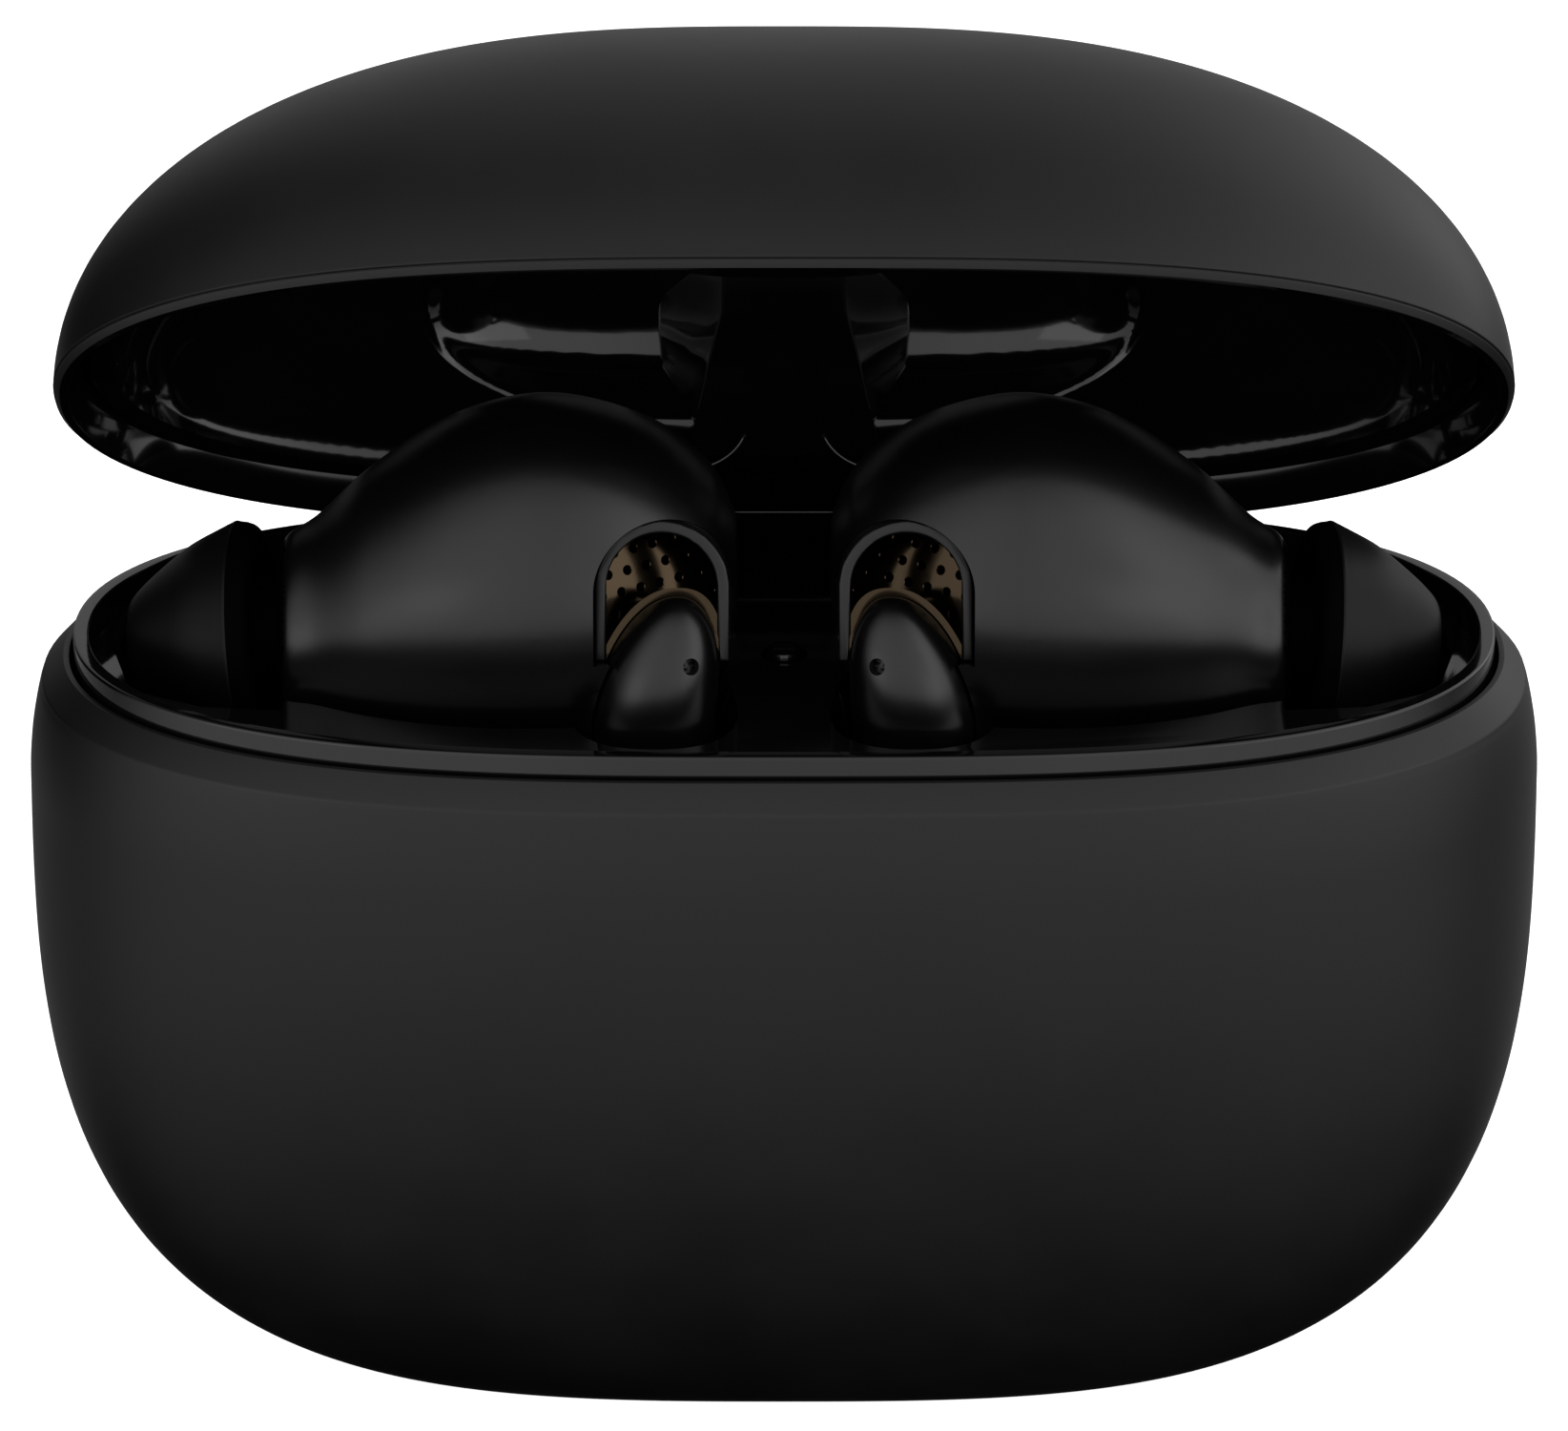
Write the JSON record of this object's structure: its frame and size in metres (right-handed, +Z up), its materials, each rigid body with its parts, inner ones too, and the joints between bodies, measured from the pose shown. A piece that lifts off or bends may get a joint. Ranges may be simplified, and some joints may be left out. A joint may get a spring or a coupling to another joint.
{
  "type": "wireless earbuds case",
  "caption": "Pebble-shaped charging case with a hinged lid, spring contacts, a pairing button and stemmed earbuds with rubber tips seated in a moulded cradle.",
  "frame": {"origin": "centre of the flat foot under the base, on the surface it stands on", "axes": "+Z up, +X to the right seen from the front, the front of the case faces -Y, the hinge is at +Y"},
  "size_m": [0.064, 0.035, 0.0583],
  "materials": {
    "case_satin": "satin black moulded shell, fine even texture",
    "tray_gloss": "polished piano black",
    "bud_satin": "smooth satin black",
    "bud_gloss": "polished dark grey edge ring",
    "bronze": "mirror-bright copper bronze plate with small round holes",
    "dark_mesh": "fine black woven mesh",
    "tip_rubber": "soft satin silicone",
    "gold": "gold plated contact",
    "steel": "plain bright steel",
    "circuit_board": "green solder mask",
    "chip_black": "moulded black epoxy",
    "cell_foil": "soft foil wrap"
  },
  "bodies": {
    "case_base": {"base_shell": "case_satin", "cradle_tray": "tray_gloss", "case_battery": "cell_foil", "main_board": "circuit_board", "charge_chip": "chip_black", "socket_shell": "steel", "socket_tongue": "chip_black", "button_board": "circuit_board", "button_switch": "steel", "base_magnet": "steel", "hinge_pin": "steel", "hinge_spring": "steel", "left_contact_block": "chip_black", "left_bud_magnet": "steel", "right_contact_block": "chip_black", "right_bud_magnet": "steel"},
    "lid": {"lid_shell": "case_satin", "lid_liner": "tray_gloss", "hinge_arm": "tray_gloss", "lid_magnet": "steel", "hinge_screw_1": "steel", "hinge_screw_2": "steel"},
    "pairing_button": {"pairing_button": "tray_gloss"},
    "left_spring_pin_1": {"left_spring_pin_1": "gold"},
    "left_spring_pin_2": {"left_spring_pin_2": "gold"},
    "left_earbud": {"left_bud_housing": "bud_satin", "left_bud_bezel": "bud_gloss", "left_bud_grille": "bronze", "left_bud_stem": "bud_satin", "left_bud_stem_cap": "bud_satin", "left_bud_microphone_mesh": "dark_mesh", "left_bud_eartip": "tip_rubber", "left_bud_nozzle_mesh": "dark_mesh", "left_bud_driver": "steel", "left_bud_cell": "cell_foil", "left_bud_board": "circuit_board", "left_bud_antenna_flex": "circuit_board", "left_bud_contact_1": "gold", "left_bud_contact_2": "gold"},
    "right_spring_pin_1": {"right_spring_pin_1": "gold"},
    "right_spring_pin_2": {"right_spring_pin_2": "gold"},
    "right_earbud": {"right_bud_housing": "bud_satin", "right_bud_bezel": "bud_gloss", "right_bud_grille": "bronze", "right_bud_stem": "bud_satin", "right_bud_stem_cap": "bud_satin", "right_bud_microphone_mesh": "dark_mesh", "right_bud_eartip": "tip_rubber", "right_bud_nozzle_mesh": "dark_mesh", "right_bud_driver": "steel", "right_bud_cell": "cell_foil", "right_bud_board": "circuit_board", "right_bud_antenna_flex": "circuit_board", "right_bud_contact_1": "gold", "right_bud_contact_2": "gold"}
  },
  "joints": [
    {"name": "lid_hinge", "type": "hinge", "parent": "case_base", "child": "lid", "pos_m": [0, 0.01317, 0.03292], "axis": [-1, 0, 0], "range_deg": [-46.5, 0]},
    {"name": "button_press", "type": "slide", "parent": "case_base", "child": "pairing_button", "axis": [0, 0, -1], "range_m": [0, 0.00035], "stiffness_N_per_m": 120, "springref_m": -0.0005},
    {"name": "left_pin_1_travel", "type": "slide", "parent": "case_base", "child": "left_spring_pin_1", "axis": [0, 0, -1], "range_m": [0, 0.0006], "stiffness_N_per_m": 150, "springref_m": -0.0005},
    {"name": "left_pin_2_travel", "type": "slide", "parent": "case_base", "child": "left_spring_pin_2", "axis": [0, 0, -1], "range_m": [0, 0.0006], "stiffness_N_per_m": 150, "springref_m": -0.0005},
    {"name": "left_earbud_lift", "type": "slide", "parent": "case_base", "child": "left_earbud", "axis": [0, 0, 1], "range_m": [0, 0.0075]},
    {"name": "right_pin_1_travel", "type": "slide", "parent": "case_base", "child": "right_spring_pin_1", "axis": [0, 0, -1], "range_m": [0, 0.0006], "stiffness_N_per_m": 150, "springref_m": -0.0005},
    {"name": "right_pin_2_travel", "type": "slide", "parent": "case_base", "child": "right_spring_pin_2", "axis": [0, 0, -1], "range_m": [0, 0.0006], "stiffness_N_per_m": 150, "springref_m": -0.0005},
    {"name": "right_earbud_lift", "type": "slide", "parent": "case_base", "child": "right_earbud", "axis": [0, 0, 1], "range_m": [0, 0.0075]}
  ]
}
